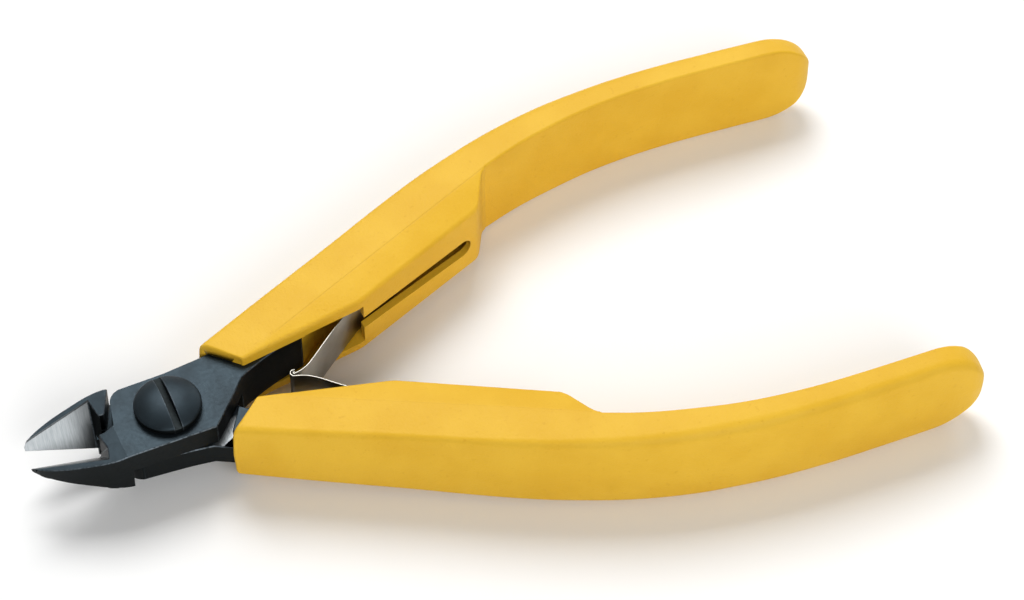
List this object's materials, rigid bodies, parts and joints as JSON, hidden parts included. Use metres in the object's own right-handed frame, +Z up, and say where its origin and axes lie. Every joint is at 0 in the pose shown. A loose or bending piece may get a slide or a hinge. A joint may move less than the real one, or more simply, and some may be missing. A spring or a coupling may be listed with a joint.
{
  "type": "flush cutter",
  "caption": "Small side cutter with ground bevel jaws, a lap joint on a slotted screw, hooked leaf springs and bowed moulded grips.",
  "frame": {"origin": "on the resting surface, under the middle of the open tool's outline", "axes": "+X along the line half-way between the grips, towards their ends; +Z up, along the pivot axis, towards the screw's head"},
  "size_m": [0.1072, 0.0562, 0.0122],
  "materials": {
    "dark_steel": "satin dark oxide, with bare ground bevels at the cutting edges",
    "spring_steel": "bright rolled strip",
    "yellow_plastic": "satin, finely grained moulded plastic"
  },
  "bodies": {
    "screw_side": {"lower_jaw_lever": "dark_steel", "upper_grip": "yellow_plastic"},
    "back_side": {"upper_jaw_lever": "dark_steel", "pivot_screw": "dark_steel", "lower_grip": "yellow_plastic"},
    "upper_leaf": {"upper_leaf_spring": "spring_steel"},
    "lower_leaf": {"lower_leaf_spring": "spring_steel"}
  },
  "joints": [
    {"name": "jaw_pivot", "type": "hinge", "parent": "screw_side", "child": "back_side", "pos_m": [-0.0368, 0, 0.0061], "axis": [0, 0, 1], "range_deg": [0, 9], "stiffness_Nm_per_rad": 2},
    {"name": "upper_leaf_flex", "type": "hinge", "parent": "screw_side", "child": "upper_leaf", "pos_m": [0.00554, 0.01647, 0.0061], "axis": [0, 0, 1], "range_deg": [-2.6, 0]},
    {"name": "lower_leaf_flex", "type": "hinge", "parent": "back_side", "child": "lower_leaf", "pos_m": [0.00554, -0.01647, 0.0061], "axis": [0, 0, 1], "range_deg": [0, 2.6]}
  ],
  "couplings": [
    {"joint": "upper_leaf_flex", "follows": "jaw_pivot", "ratio": -0.2656},
    {"joint": "lower_leaf_flex", "follows": "jaw_pivot", "ratio": 0.2656}
  ]
}
